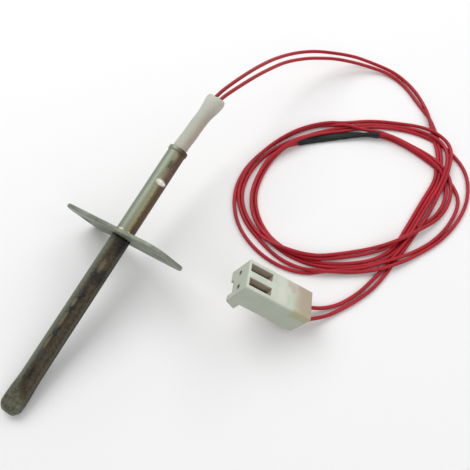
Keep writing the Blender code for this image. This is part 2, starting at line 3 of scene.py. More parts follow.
import bpy
import numpy as np
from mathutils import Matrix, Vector


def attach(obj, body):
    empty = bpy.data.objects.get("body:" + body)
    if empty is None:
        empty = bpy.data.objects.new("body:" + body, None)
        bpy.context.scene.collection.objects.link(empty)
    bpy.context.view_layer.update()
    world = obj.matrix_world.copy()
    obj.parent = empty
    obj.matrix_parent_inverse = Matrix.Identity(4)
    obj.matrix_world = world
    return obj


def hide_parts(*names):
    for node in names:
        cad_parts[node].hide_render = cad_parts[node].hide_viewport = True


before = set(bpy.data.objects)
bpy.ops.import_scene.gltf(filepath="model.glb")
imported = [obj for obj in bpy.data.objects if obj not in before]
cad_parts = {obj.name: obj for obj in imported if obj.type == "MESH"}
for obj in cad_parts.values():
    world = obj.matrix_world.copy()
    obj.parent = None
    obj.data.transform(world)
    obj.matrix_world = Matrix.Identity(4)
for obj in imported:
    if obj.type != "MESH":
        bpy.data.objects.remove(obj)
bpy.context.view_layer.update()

mm = 0.001

# camera and light

cameraSettings = {
    "place": (0.056864, -0.037594, 0.135191),
    "aim": (0.020256, 0.022124, 0.0),
    "lens": 43.152,
    "sensor": 36.0,
}


def addCamera(settings):
    lens = bpy.data.cameras.new("mainCamera")
    lens.lens = settings["lens"]
    lens.sensor_width = settings["sensor"]
    lens.clip_start = 0.005
    lens.clip_end = 10.0
    made = bpy.data.objects.new("mainCamera", lens)
    bpy.context.scene.collection.objects.link(made)
    made.location = settings["place"]
    toAim = Vector(settings["aim"]) - Vector(settings["place"])
    made.rotation_euler = toAim.to_track_quat("-Z", "Y").to_euler()
    bpy.context.scene.camera = made


lightSettings = {
    "sky": 0.45,
    "aim": (0.02, 0.025, 0.0),
    "panels": (
        ("keyPanel", (-0.28, 0.12, 0.42), 0.38, 1.5),
        ("fillPanel", (0.38, -0.10, 0.34), 0.44, 0.7),
        ("rearPanel", (0.05, 0.45, 0.30), 0.40, 0.75),
    ),
}


def addLight(settings):
    world = bpy.data.worlds.new("studio")
    world.use_nodes = True
    backdrop = world.node_tree.nodes["Background"]
    backdrop.inputs["Color"].default_value = (1.0, 1.0, 1.0, 1.0)
    backdrop.inputs["Strength"].default_value = settings["sky"]
    bpy.context.scene.world = world
    for name, place, size, power in settings["panels"]:
        lamp = bpy.data.lights.new(name, "AREA")
        lamp.size = size
        lamp.energy = power
        made = bpy.data.objects.new(name, lamp)
        bpy.context.scene.collection.objects.link(made)
        made.location = place
        made.rotation_euler = (Vector(settings["aim"]) - Vector(place)).to_track_quat("-Z", "Y").to_euler()


addCamera(cameraSettings)
addLight(lightSettings)
bpy.context.scene.view_settings.view_transform = "Standard"
print("camera and light ready")


# node helpers: each returns the socket that holds its value

def newMaterial(name):
    made = bpy.data.materials.new(name)
    made.use_nodes = True
    return made, made.node_tree, made.node_tree.nodes["Principled BSDF"]


def setInput(tree, socket, value):
    if isinstance(value, bpy.types.NodeSocket):
        tree.links.new(value, socket)
    elif isinstance(value, tuple) and len(value) == 3 and socket.type == "RGBA":
        socket.default_value = (*value, 1.0)
    else:
        socket.default_value = value


def objectPoint(tree):
    return tree.nodes.new("ShaderNodeTexCoord").outputs["Object"]


def storedVector(tree, name):
    node = tree.nodes.new("ShaderNodeAttribute")
    node.attribute_name = name
    return node.outputs["Vector"]


def axesOf(tree, vector):
    node = tree.nodes.new("ShaderNodeSeparateXYZ")
    setInput(tree, node.inputs[0], vector)
    return node.outputs["X"], node.outputs["Y"], node.outputs["Z"]


def vectorOf(tree, x, y, z):
    node = tree.nodes.new("ShaderNodeCombineXYZ")
    for socket, value in zip(node.inputs, (x, y, z)):
        setInput(tree, socket, value)
    return node.outputs[0]


def noiseOf(tree, vector, scale, detail=3.0, roughness=0.5, distortion=0.0):
    node = tree.nodes.new("ShaderNodeTexNoise")
    setInput(tree, node.inputs["Vector"], vector)
    for name, value in (("Scale", scale), ("Detail", detail), ("Roughness", roughness), ("Distortion", distortion)):
        node.inputs[name].default_value = value
    return node.outputs["Fac"]


def mathOf(tree, operation, first, second=0.0, third=0.0):
    node = tree.nodes.new("ShaderNodeMath")
    node.operation = operation
    for socket, value in zip(node.inputs, (first, second, third)):
        setInput(tree, socket, value)
    return node.outputs[0]


def rampOf(tree, value, low, high, fromValue=0.0, toValue=1.0):
    node = tree.nodes.new("ShaderNodeMapRange")
    node.interpolation_type = "SMOOTHSTEP"
    for name, setting in (("Value", value), ("From Min", low), ("From Max", high), ("To Min", fromValue), ("To Max", toValue)):
        setInput(tree, node.inputs[name], setting)
    return node.outputs["Result"]


def mixOf(tree, share, first, second):
    node = tree.nodes.new("ShaderNodeMix")
    node.data_type = "RGBA"
    setInput(tree, node.inputs["Factor"], share)
    setInput(tree, node.inputs["A"], first)
    setInput(tree, node.inputs["B"], second)
    return node.outputs["Result"]


def bumpOf(tree, height, distance, strength=1.0):
    node = tree.nodes.new("ShaderNodeBump")
    node.inputs["Distance"].default_value = distance
    node.inputs["Strength"].default_value = strength
    setInput(tree, node.inputs["Height"], height)
    return node.outputs[0]


def finishWith(tree, shader, **inputs):
    names = {"colour": "Base Color", "rough": "Roughness", "metal": "Metallic", "normal": "Normal",
             "coat": "Coat Weight", "coatRough": "Coat Roughness", "sheen": "Sheen Weight",
             "seeThrough": "Subsurface Weight", "depth": "Subsurface Scale", "shine": "Specular IOR Level"}
    for key, value in inputs.items():
        setInput(tree, shader.inputs[names[key]], value)


# leads: listed points in metres outside the coil, turns worked out by a loop inside it

leadSettings = {
    "radius": 0.5 * mm,
    "coilMiddle": (0.0414, 0.0488),
    "firstHeading": 75.0,
    "headingStep": -15.0,
    "pointStep": 1.2 * mm,
    "sleeveWall": 0.22 * mm,
    "layerStep": 0.035 * mm,
}

leadRoutes = {
    "leadA": {
        "exit": (
            (0.0004, 0.0438, 0.0212), (0.0014, 0.0476, 0.0219), (0.0030, 0.0543, 0.0215), (0.0041, 0.0619, 0.0193),
            (0.0052, 0.0697, 0.0160), (0.0074, 0.0777, 0.0123), (0.0107, 0.0846, 0.0088), (0.0151, 0.0902, 0.0056),
            (0.0195, 0.0941, 0.0033), (0.0236, 0.0961, 0.0019), (0.0300, 0.0972, 0.0010), (0.0341, 0.0971, 0.0008),
            (0.0396, 0.0951, 0.0012), (0.0435, 0.0924, 0.0020), (0.0472, 0.0886, 0.0030),
        ),
        # distance from the coil's middle every fifteen degrees, in millimetres
        "reach": (
            36.5, 30.7, 25.6, 20.7, 18.4, 17.6, 18.1, 19.2, 19.8, 20.3, 21.6, 23.2,
            24.5, 25.9, 26.4, 26.3, 25.3, 24.6, 23.8, 22.4, 21.4, 21.4, 22.6, 24.1,
            24.9, 26.2, 28.7, 30.3, 28.0, 25.5, 23.3, 21.9, 21.5, 22.1, 23.2, 27.2,
            29.7, 31.4, 32.4, 32.1, 30.6, 28.6, 27.0, 26.2, 25.7, 24.5, 23.4, 24.5,
            25.8, 27.9, 29.2, 27.9, 24.6, 20.8, 18.9, 17.5, 16.8, 17.1, 18.7, 22.1,
            24.9, 27.8, 29.5, 30.1, 28.9, 27.1, 25.2, 23.8, 23.5, 24.2, 26.2, 28.8,
            32.4, 33.4, 27.9, 22.7, 20.1, 19.2, 19.6,
        ),
        # where it climbs over other turns: heading, height in millimetres, half width in degrees
        "humps": (
            (68, 2.6, 16), (-395, 1.2, 14), (-604, 2.0, 16), (-733, 2.0, 20), (-837, 2.1, 18),
            (-905, 0.9, 12), (-950, 1.1, 16), (-1030, 2.0, 20),
        ),
        "end": (
            (0.0593, 0.0370, 0.0006), (0.0585, 0.0330, 0.0006), (0.0576, 0.0297, 0.0006), (0.0568, 0.0262, 0.0006),
            (0.0557, 0.0233, 0.0006), (0.0541, 0.0202, 0.0006), (0.0520, 0.0174, 0.0006), (0.0496, 0.0152, 0.0010),
            (0.0474, 0.0136, 0.0021),
        ),
        "contactSide": 1,
    },
    "leadB": {
        "exit": (
            (0.00175, 0.0436, 0.0211), (0.0030, 0.0474, 0.0216), (0.0049, 0.0551, 0.0206), (0.0061, 0.0628, 0.0180),
            (0.0075, 0.0712, 0.0143), (0.0102, 0.0785, 0.0108), (0.0129, 0.0834, 0.0082), (0.0163, 0.0879, 0.0058),
            (0.0206, 0.0917, 0.0035), (0.0246, 0.0940, 0.0020), (0.0302, 0.0956, 0.0010), (0.0345, 0.0954, 0.0008),
            (0.0394, 0.0934, 0.0012), (0.0430, 0.0908, 0.0020), (0.0468, 0.0882, 0.0030),
        ),
        "reach": (
            37.4, 31.8, 26.8, 21.7, 19.2, 18.4, 18.9, 20.3, 21.1, 21.4, 22.4, 24.0,
            25.6, 26.8, 27.4, 27.4, 26.4, 25.7, 24.1, 21.7, 20.5, 20.6, 21.9, 24.1,
            24.7, 26.5, 28.1, 26.6, 23.4, 19.8, 18.5, 18.1, 17.8, 18.2, 19.7, 22.8,
            24.9, 26.8, 27.8, 27.4, 26.2, 25.1, 23.5, 22.5, 22.2, 22.7, 25.3, 28.1,
            31.3, 34.0, 34.8, 32.7, 29.5, 26.6, 24.3, 23.3, 23.1, 23.1, 24.0, 26.3,
            27.8, 28.7, 30.3, 31.2, 30.0, 28.2, 26.9, 26.3, 25.8, 25.6, 27.7, 30.3,
            34.0, 35.0, 28.8, 24.1, 21.6, 20.4, 20.5,
        ),
        "humps": (
            (67, 2.6, 16), (-368, 2.0, 18), (-475, 1.0, 16), (-520, 0.9, 30), (-585, 1.7, 20), (-750, 0.7, 12),
            (-808, 0.8, 12), (-1029, 2.0, 20),
        ),
        "end": (
            (0.0604, 0.0378, 0.0006), (0.0598, 0.0328, 0.0006), (0.0588, 0.0276, 0.0006), (0.0574, 0.0239, 0.0006),
            (0.0557, 0.0204, 0.0006), (0.0537, 0.0170, 0.0006), (0.0516, 0.0139, 0.0011), (0.0491, 0.0109, 0.0027),
        ),
        "contactSide": -1,
    },
}

housingSettings = {
    "place": (30.96 * mm, 1.72 * mm, 11.66 * mm),
    "roll": math.radians(-14.3),
    "dip": math.radians(32.3),
    "heading": math.radians(15.4),
    "size": (18.75 * mm, 7.9 * mm, 7.4 * mm),
    "pitch": 3.96 * mm,
    "cavityHeight": 3.5 * mm,
}


def housingToFrame(points):
    # three turns in the order roll, dip, heading, then the corner's place
    s = housingSettings
    turn = np.eye(3)
    for axis, angle in ((0, s["roll"]), (1, s["dip"]), (2, s["heading"])):
        c, d = math.cos(angle), math.sin(angle)
        one, two = [(1, 2), (2, 0), (0, 1)][axis]
        step = np.eye(3)
        step[one, one] = step[two, two] = c
        step[one, two], step[two, one] = -d, d
        turn = step @ turn
    return np.asarray(points) @ turn.T + s["place"]


def evenPath(route, step):
    # Catmull-Rom curve through the points, sampled at even distances
    knots = np.array(route, float)
    knots = np.vstack([2 * knots[0] - knots[1], knots, 2 * knots[-1] - knots[-2]])
    share = np.linspace(0, 1, 24, endpoint=False)[None, :, None]
    before, start, end, after = (knots[k:len(knots) - 3 + k, None] for k in range(4))
    fine = 0.5 * (
        2 * start + (end - before) * share + (2 * before - 5 * start + 4 * end - after) * share**2
        + (3 * start - before - 3 * end + after) * share**3
    )
    fine = np.vstack([fine.reshape(-1, 3), knots[-2:-1]])
    run = np.concatenate([[0], np.cumsum(np.linalg.norm(np.diff(fine, axis=0), axis=1))])
    wanted = np.linspace(0, run[-1], max(2, round(run[-1] / step) + 1))
    return np.stack([np.interp(wanted, run, fine[:, k]) for k in range(3)], 1)


def coilTurns(route):
    # clockwise round the coil's middle, twenty-four points to a turn
    s = leadSettings
    points = []
    for count, reach in enumerate(route["reach"]):
        heading = s["firstHeading"] + count * s["headingStep"]
        rise = sum(h * math.exp(-((heading - at) / wide) ** 2) for at, h, wide in route["humps"])
        points.append((
            s["coilMiddle"][0] + reach * mm * math.cos(math.radians(heading)),
            s["coilMiddle"][1] + reach * mm * math.sin(math.radians(heading)),
            s["radius"] + rise * mm + count * s["layerStep"],
        ))
    return points


def leadRoute(name):
    route = leadRoutes[name]
    s = housingSettings
    side = s["size"][1] / 2 + route["contactSide"] * s["pitch"] / 2
    inside = housingToFrame([(x * mm, side, s["cavityHeight"]) for x in (19.15, 16.5, 14.4)])
    points = [*route["exit"], *coilTurns(route), *route["end"], *inside]
    return evenPath(points, leadSettings["pointStep"])


def shrinkStretch(path):
    # the part of a lead inside the heat shrink: its first pass over the far side of the coil
    s = leadSettings
    aside = path[:, :2] - s["coilMiddle"]
    heading = np.degrees(np.unwrap(np.arctan2(aside[:, 1], aside[:, 0])))
    start = int(np.argmax(path[:, 0] > 0.030))
    heading -= heading[start] - math.degrees(math.atan2(aside[start, 1], aside[start, 0]))
    return (heading < shrinkSettings["from"]) & (heading > shrinkSettings["to"]) & (np.arange(len(path)) > start)


shrinkSettings = {"from": -200.0, "to": -267.0, "wall": 0.2 * mm, "bulge": 0.12 * mm}


def settle(paths):
    # crossing turns are pushed one diameter apart and the rest sinks to the table, while the plan is kept
    radius = leadSettings["radius"]
    points = np.vstack(paths)
    lead = np.concatenate([np.full(len(p), k) for k, p in enumerate(paths)])
    order = np.arange(len(points))
    sleeved = np.concatenate([shrinkStretch(p) for p in paths])
    size = radius + np.where(sleeved, shrinkSettings["wall"] + 0.05 * mm, 0.0)
    home = points.copy()
    fixed = np.zeros(len(points), bool)
    begin = 0
    for p in paths:
        hanging = int(np.argmax(p[:, 0] > 0.030))
        fixed[begin:begin + hanging] = True
        fixed[begin + len(p) - 14:begin + len(p)] = True
        begin += len(p)
    free = ~fixed
    ends = np.concatenate([[True], lead[1:] != lead[:-1]])
    inner = free & ~ends & ~np.roll(ends, -1)
    inner[[0, -1]] = False
    middle = np.flatnonzero(inner)
    for turn in range(420):
        if turn % 8 == 0:
            gap = points[:, None] - points[None]
            near = np.einsum("ijk,ijk->ij", gap, gap) < (2.9 * radius) ** 2
            near &= (lead[:, None] != lead[None]) | (np.abs(order[:, None] - order[None]) > 5)
            first, second = np.nonzero(np.triu(near, 1))
            needed = size[first] + size[second]
            needed = needed - np.where(sleeved[first] & sleeved[second], size[first] + size[second] - 2 * radius, 0.0)
        apart = points[first] - points[second]
        distance = np.linalg.norm(apart, axis=1) + 1e-9
        press = np.clip(needed * 1.01 - distance, 0, None)
        move = apart / distance[:, None] * (press * 0.4)[:, None] * ((0.25, 0.25, 1.0) if turn < 330 else (0.6, 0.6, 1.0))
        shift = np.zeros_like(points)
        for k in range(3):
            shift[:, k] = np.bincount(first, move[:, k], len(points)) - np.bincount(second, move[:, k], len(points))
        longest = np.linalg.norm(shift, axis=1)
        shift *= np.minimum(1, 0.25 * mm / (longest + 1e-12))[:, None]
        points[free] += shift[free]
        late = turn > 330
        points[free, :2] += (home[free, :2] - points[free, :2]) * (0.06 if not late else 0.015)
        points[free, 2] -= 0.0 if late else 0.03 * mm * (1 - turn / 330)
        average = (points[middle - 1] + points[middle + 1]) / 2
        points[middle] += (average - points[middle]) * ((0.12, 0.12, 0.35) if not late else (0.05, 0.05, 0.08))
        points[free, 2] = np.maximum(points[free, 2], radius + 0.02 * mm)
    cuts = np.cumsum([len(p) for p in paths])[:-1]
    return np.split(points, cuts), sleeved


def addLead(name, path, finish):
    curve = bpy.data.curves.new(name, "CURVE")
    curve.dimensions = "3D"
    curve.bevel_depth = leadSettings["radius"]
    curve.bevel_resolution = 6
    curve.use_fill_caps = True
    line = curve.splines.new("POLY")
    line.points.add(len(path) - 1)
    line.points.foreach_set("co", np.column_stack([path, np.ones(len(path))]).ravel())
    curve.materials.append(finish)
    made = bpy.data.objects.new(name, curve)
    bpy.context.scene.collection.objects.link(made)
    return made


def wireMaterial():
    finish, tree, shader = newMaterial("redInsulation")
    point = objectPoint(tree)
    broad = noiseOf(tree, point, 130.0, detail=2.0)
    fine = noiseOf(tree, point, 1500.0, detail=3.0)
    colour = mixOf(tree, rampOf(tree, broad, 0.35, 0.65), (0.34, 0.005, 0.014), (0.42, 0.007, 0.020))
    # a little browner and duller where the leads leave the braid
    x, y, z = axesOf(tree, point)
    near = rampOf(tree, z, 0.012, 0.021, 0.0, 0.4)
    colour = mixOf(tree, near, colour, (0.30, 0.035, 0.030))
    finishWith(tree, shader, colour=colour, rough=rampOf(tree, fine, 0.3, 0.7, 0.36, 0.46), shine=0.34,
               normal=bumpOf(tree, fine, 0.01 * mm, 0.3))
    return finish


leadPaths, sleevedPoints = settle([leadRoute("leadA"), leadRoute("leadB")])
redFinish = wireMaterial()
leads = {name: addLead(name, path, redFinish) for name, path in zip(leadRoutes, leadPaths)}
for name, made in leads.items():
    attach(made, "root")
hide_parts("lead_a_exit", "lead_a_end", "lead_coil")
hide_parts("lead_b_exit", "lead_b_end", "lead_coil")

# probe pieces

probeSettings = {
    "tip": (0.0, -44.1 * mm, 1.593 * mm),
    "pitch": math.radians(12.461),
}


def probeToFrame(points):
    # the probe's own axes: across, along the sheath, up
    c, d = math.cos(probeSettings["pitch"]), math.sin(probeSettings["pitch"])
    turn = np.array([(1, 0, 0), (0, c, -d), (0, d, c)])
    return np.asarray(points) @ turn.T + probeSettings["tip"]


def ease(share):
    share = np.clip(share, 0, 1)
    return share * share * (3 - 2 * share)


def surfaceMesh(name, grid, capStart=False, capEnd=False, closedAlong=False):
    # quads over a grid of rings (ring, point, xyz); a cap is one middle point joined to its ring
    rings, count = grid.shape[:2]
    ring = np.arange(rings if closedAlong else rings - 1)[:, None]
    side = np.arange(count)[None]
    nextRing, nextSide = (ring + 1) % rings, (side + 1) % count
    quads = np.stack([ring * count + side + 0 * nextSide, ring * count + nextSide, nextRing * count + nextSide,
                      nextRing * count + side], -1).reshape(-1, 4)
    points = grid.reshape(-1, 3)
    faces = quads.tolist()
    around = np.arange(count)
    for wanted, first in ((capStart, 0), (capEnd, (rings - 1) * count)):
        if wanted:
            middle = len(points)
            points = np.vstack([points, grid[first // count].mean(0)])
            near, far = first + around, first + (around + 1) % count
            pair = (far, near) if first == 0 else (near, far)
            faces += np.column_stack([*pair, np.full(count, middle)]).tolist()
    mesh = bpy.data.meshes.new(name)
    mesh.from_pydata(points, [], faces)
    mesh.shade_smooth()
    return mesh


def faceOutward(mesh, hollow=False):
    # the sign of the enclosed volume tells which way the faces point
    mesh.calc_loop_triangles()
    corners = np.array([v.co for v in mesh.vertices])
    index = np.array([t.vertices for t in mesh.loop_triangles])
    volume = np.einsum("ij,ij->i", corners[index[:, 0]], np.cross(corners[index[:, 1]], corners[index[:, 2]])).sum()
    if volume < 0:
        mesh.flip_normals()
    return mesh


def addPiece(name, mesh, finish, slot, *replaced):
    mesh.materials.append(finish)
    made = bpy.data.objects.new(name, mesh)
    bpy.context.scene.collection.objects.link(made)
    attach(made, "root")
    if replaced:
        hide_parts(*replaced)
    return made


def storeVector(mesh, name, values):
    layer = mesh.attributes.new(name, "FLOAT_VECTOR", "POINT")
    layer.data.foreach_set("vector", np.asarray(values, np.float32).ravel())


# sheath: rings along the axis, pressed flat at the tip, with a cross dent behind the flange

sheathSettings = {
    "radius": 2.5, "rearRadius": 2.4, "bore": 2.1, "end": 73.6, "boreDepth": 12.0,
    "pressLength": 9.0, "pressWidth": 2.8, "pressHeight": 1.85, "tipRounding": 2.2, "tipStart": -0.9, "pressShift": -0.05,
    "lipLength": 1.1, "lipGrowth": 0.2, "shoulder": 46.9,
    "dentStation": 63.5, "dentAngle": math.radians(42), "dentDepth": 0.5, "dentLength": 0.9,
    "dentSpread": math.radians(30), "around": 96,
}


def sheathOutline():
    # (station, half width, half height, power, sideways shift) in millimetres from the tip back to the bore
    s = sheathSettings
    rows = []
    near = s["tipStart"] + (s["pressLength"] - s["tipStart"]) * np.linspace(0, 1, 80) ** 1.6
    far = np.linspace(s["pressLength"], s["shoulder"], 60)[1:]
    for station in np.concatenate([near, far]):
        pressed = 1 - ease((station - s["tipRounding"]) / (s["pressLength"] - s["tipRounding"]))
        width = s["radius"] + (s["pressWidth"] - s["radius"]) * pressed
        height = s["radius"] + (s["pressHeight"] - s["radius"]) * pressed
        rounding = max(0.0, 1 - (station - s["tipStart"]) / s["tipRounding"])
        rows.append((station, width * (1 - 0.42 * rounding**2.4), height * (1 - 0.6 * rounding**2.2),
                     2 + 0.6 * pressed, s["pressShift"] * pressed))
    rear, lip = s["rearRadius"], s["rearRadius"] + s["lipGrowth"]
    plain = [(s["shoulder"] + 0.02, rear)]
    plain += [(x, rear) for x in np.linspace(49, 60.5, 12)]
    plain += [(x, rear) for x in np.linspace(61, 66, 60)]
    plain += [(x, rear) for x in np.linspace(66.6, s["end"] - s["lipLength"] - 0.25, 8)]
    for share in np.linspace(0, 1, 7):
        plain.append((s["end"] - s["lipLength"] + 0.25 * (share - 0.5), rear + (lip - rear) * float(ease(share))))
    for turn in np.linspace(0, math.pi / 2, 7):
        plain.append((s["end"] - 0.15 + 0.15 * math.sin(turn), lip - 0.15 + 0.15 * math.cos(turn)))
    for turn in np.linspace(0, math.pi / 2, 6):
        plain.append((s["end"] - 0.1 + 0.1 * math.cos(turn), s["bore"] + 0.1 - 0.1 * math.sin(turn)))
    plain += [(x, s["bore"]) for x in np.linspace(s["end"] - 0.4, s["end"] - s["boreDepth"], 20)]
    rows += [(x, r, r, 2.0, 0.0) for x, r in plain]
    return np.array(rows)


def sheathMesh():
    s = sheathSettings
    rows = sheathOutline()
    turn = np.arange(s["around"]) * (2 * math.pi / s["around"])
    power = 2 / rows[:, 3:4]
    across = np.sign(np.cos(turn)) * np.abs(np.cos(turn)) ** power * rows[:, 1:2]
    up = np.sign(np.sin(turn)) * np.abs(np.sin(turn)) ** power * rows[:, 2:3]
    station = np.repeat(rows[:, :1], s["around"], 1)
    angle = np.arctan2(up, across)
    across = across + rows[:, 4:5]
    off = (angle - s["dentAngle"] + math.pi) % (2 * math.pi) - math.pi
    dent = s["dentDepth"] * np.exp(-((station - s["dentStation"]) / s["dentLength"]) ** 2)
    dent = dent * np.exp(-((off / s["dentSpread"]) ** 4))
    radius = np.hypot(across, up) + 1e-9
    across, up = across * (1 - dent / radius), up * (1 - dent / radius)
    grid = probeToFrame(np.stack([across, station, up], -1) * mm)
    mesh = surfaceMesh("sheathSkin", grid, capStart=True, capEnd=True)
    ends = np.array([(rows[0, 0], 1, 0), (rows[-1, 0], 1, 0)])
    axial = np.vstack([np.stack([station, np.cos(angle), np.sin(angle)], -1).reshape(-1, 3), ends])
    storeVector(mesh, "axial", axial)
    return faceOutward(mesh)


# flange: rounded plate whose rings run outward over its rolled edge, turned about the axis

flangeSettings = {
    "station": 47.4, "length": 36.0, "width": 14.0, "thickness": 1.0, "corner": 4.1, "turn": math.radians(22),
    "bore": 2.43, "edge": 0.28, "hole": 1.7, "holeOffset": 14.2, "around": 240,
}


def roundedOutline(angle, halfLength, halfWidth, corner):
    # distance from the middle to a rounded rectangle, found by marching the corner circles in closed form
    c, d = np.abs(np.cos(angle)), np.abs(np.sin(angle))
    flat = np.minimum(halfLength / np.maximum(c, 1e-9), halfWidth / np.maximum(d, 1e-9))
    middleX, middleY = halfLength - corner, halfWidth - corner
    along = c * middleX + d * middleY
    inside = np.maximum(along**2 - (middleX**2 + middleY**2 - corner**2), 0)
    rounded = along + np.sqrt(inside)
    inCorner = (rounded * c > middleX) & (rounded * d > middleY)
    return np.where(inCorner, rounded, flat)


def flangeMesh():
    s = flangeSettings
    edge, half = s["edge"], s["thickness"] / 2
    corner = math.atan2(s["width"] / 2 - s["corner"] / 2, s["length"] / 2 - s["corner"] / 2)
    even = np.linspace(0, 2 * math.pi, s["around"], endpoint=False)
    # more points where the corners are
    angle = even - 0.42 * np.sin(2 * even) * math.cos(corner) * 0.9
    profile = [(None, -half), (0.5, -half), (0.9, -half)]
    profile += [(-edge + edge * math.sin(t), -half + edge - edge * math.cos(t)) for t in np.linspace(0, math.pi / 2, 8)]
    profile += [(-edge + edge * math.cos(t), half - edge + edge * math.sin(t)) for t in np.linspace(0, math.pi / 2, 8)]
    profile += [(0.9, half), (0.5, half), (None, half)]
    rings = []
    for share, depth in profile:
        if share is None:
            reach = np.full(len(angle), s["bore"])
        elif share > 0:
            full = roundedOutline(angle, s["length"] / 2 - edge, s["width"] / 2 - edge, s["corner"] - edge)
            reach = s["bore"] + (full - s["bore"]) * share
        else:
            reach = roundedOutline(angle, s["length"] / 2 + share, s["width"] / 2 + share, s["corner"] + share)
        rings.append(np.stack([reach * np.cos(angle), reach * np.sin(angle), np.full(len(angle), depth)], -1))
    grid = np.array(rings)
    c, d = math.cos(s["turn"]), math.sin(s["turn"])
    across = grid[..., 0] * c - grid[..., 1] * d
    up = grid[..., 0] * d + grid[..., 1] * c
    placed = probeToFrame(np.stack([across, s["station"] + grid[..., 2], up], -1) * mm)
    return faceOutward(surfaceMesh("flangePlate", placed, closedAlong=True))


def holeCutter(side):
    s = flangeSettings
    turn = np.arange(64) * (2 * math.pi / 64)
    across, up = (side * s["holeOffset"] * f(s["turn"]) for f in (math.cos, math.sin))
    rings = [np.stack([across + s["hole"] * np.cos(turn), np.full(64, s["station"] + depth),
                       up + s["hole"] * np.sin(turn)], -1) for depth in (-2.0, 2.0)]
    mesh = faceOutward(surfaceMesh("holeCutter", probeToFrame(np.array(rings) * mm), capStart=True, capEnd=True))
    return mesh


# weld beads in the corner behind the flange: flattened balls with a slightly uneven skin

beadSettings = {
    "station": 48.05, "radius": 2.5,
    "beads": ((50, 0.85, 0.85), (92, 0.90, 0.95), (245, 0.80, 0.85)),
}


def beadMesh(number, heading, height, length):
    s = beadSettings
    tilt = np.linspace(0, math.pi, 26)[:, None]
    turn = np.arange(40)[None] * (2 * math.pi / 40)
    lump = 1 + 0.07 * np.sin(3 * turn + number) * np.sin(tilt) + 0.05 * np.sin(5 * tilt + 2 * number) * np.sin(tilt)
    outward = height * lump * np.sin(tilt) * np.cos(turn)
    along = height * lump * np.sin(tilt) * np.sin(turn)
    side = length * lump * np.cos(tilt) + 0 * turn
    angle = math.radians(heading)
    radius = s["radius"] + outward
    across = radius * math.cos(angle) - side * math.sin(angle)
    up = radius * math.sin(angle) + side * math.cos(angle)
    grid = probeToFrame(np.stack([across, s["station"] + along, up], -1)[1:-1] * mm)
    return faceOutward(surfaceMesh(f"weldBead{number}", grid, capStart=True, capEnd=True))


# braided sleeve: two sets of strands wound in opposite directions, each rising over and dipping under

braidSettings = {
    "start": 65.8, "end": 90.0, "radius": 1.86, "bore": 1.38, "flare": 0.65, "flareLength": 6.0,
    "bend": 0.75, "bendLength": 10.0, "set": 0.35, "setStart": 74.0, "setLength": 6.0,
    "strands": 14, "pitch": 9.5, "height": 0.12, "along": 330, "around": 120,
    "tilt": 0.35,
}


def braidShape(station, radius):
    s = braidSettings
    shift = s["bend"] * ease((station - s["end"] + s["bendLength"]) / s["bendLength"])
    shift = shift + s["set"] * ease((station - s["setStart"]) / s["setLength"])
    flare = s["flare"] * ease((station - s["end"] + s["flareLength"]) / s["flareLength"])
    return shift, radius + flare


def weave(station, turn):
    # height of the strand on top at each place, 0 to 1: the two windings swap every half strand
    s = braidSettings
    one = s["strands"] * turn + 2 * math.pi * station * s["strands"] / s["pitch"] / 2
    two = s["strands"] * turn - 2 * math.pi * station * s["strands"] / s["pitch"] / 2
    over = 0.5 + 0.5 * np.sin((one + two) / 2 + math.pi / 4) * np.sin((one - two) / 2)
    first = np.abs(np.cos(one / 2)) ** 0.7 * (0.55 + 0.45 * over)
    second = np.abs(np.cos(two / 2)) ** 0.7 * (0.55 + 0.45 * (1 - over))
    return np.maximum(first, second)


def braidMesh():
    s = braidSettings
    turn = (np.arange(s["around"]) * (2 * math.pi / s["around"]))[None]
    station = np.linspace(s["start"], s["end"], s["along"])[:, None]
    shift, radius = braidShape(station, s["radius"])
    # the open end is cut a little unevenly
    slack = ease((station - s["end"] + 3) / 3)
    ragged = 0.16 * np.sin(3 * turn + 0.6) + 0.10 * np.sin(7 * turn) + 0.06 * np.sin(17 * turn + 1)
    outer = radius + s["height"] * weave(station, turn) * np.clip((s["end"] - station) / 0.4 + 0.4, 0.4, 1)
    outer = outer * (1 + 0.035 * slack * np.sin(2 * turn + 0.8))
    shape = [np.stack([shift + outer * np.cos(turn), station + slack * ragged + 0 * turn, outer * np.sin(turn)], -1)]
    lip = np.linspace(0, math.pi, 9)[1:-1, None]
    shift, radius = braidShape(np.array(s["end"]), (s["radius"] + s["bore"]) / 2)
    thick = (s["radius"] - s["bore"]) / 2 + 0.02
    rolled = (radius + thick * np.cos(lip)) * (1 + 0.035 * np.sin(2 * turn + 0.8))
    end = s["end"] + thick * np.sin(lip) + ragged
    shape.append(np.stack([shift + rolled * np.cos(turn), end, rolled * np.sin(turn)], -1))
    inside = np.linspace(s["end"], s["start"], 70)[:, None]
    shift, radius = braidShape(inside, s["bore"])
    slack = ease((inside - s["end"] + 3) / 3)
    inner = radius * (1 + 0.035 * slack * np.sin(2 * turn + 0.8)) + 0.03 * weave(inside, turn)
    shape.append(np.stack([shift + inner * np.cos(turn), inside + slack * ragged, inner * np.sin(turn)], -1))
    grid = probeToFrame(np.concatenate(shape) * mm)
    mesh = surfaceMesh("braidSkin", grid, closedAlong=True)
    flat = np.concatenate(shape)
    angle = np.arctan2(flat[..., 2], flat[..., 0] - braidShape(flat[..., 1], 0.0)[0])
    storeVector(mesh, "axial", np.stack([flat[..., 1], np.cos(angle), np.sin(angle)], -1).reshape(-1, 3))
    return faceOutward(mesh)


# heat shrink: an oval sleeve drawn round both leads, rounded off at its ends

sleeveSettings = {"rings": 150, "around": 48, "endRoll": 0.5 * mm, "grip": 0.06 * mm}


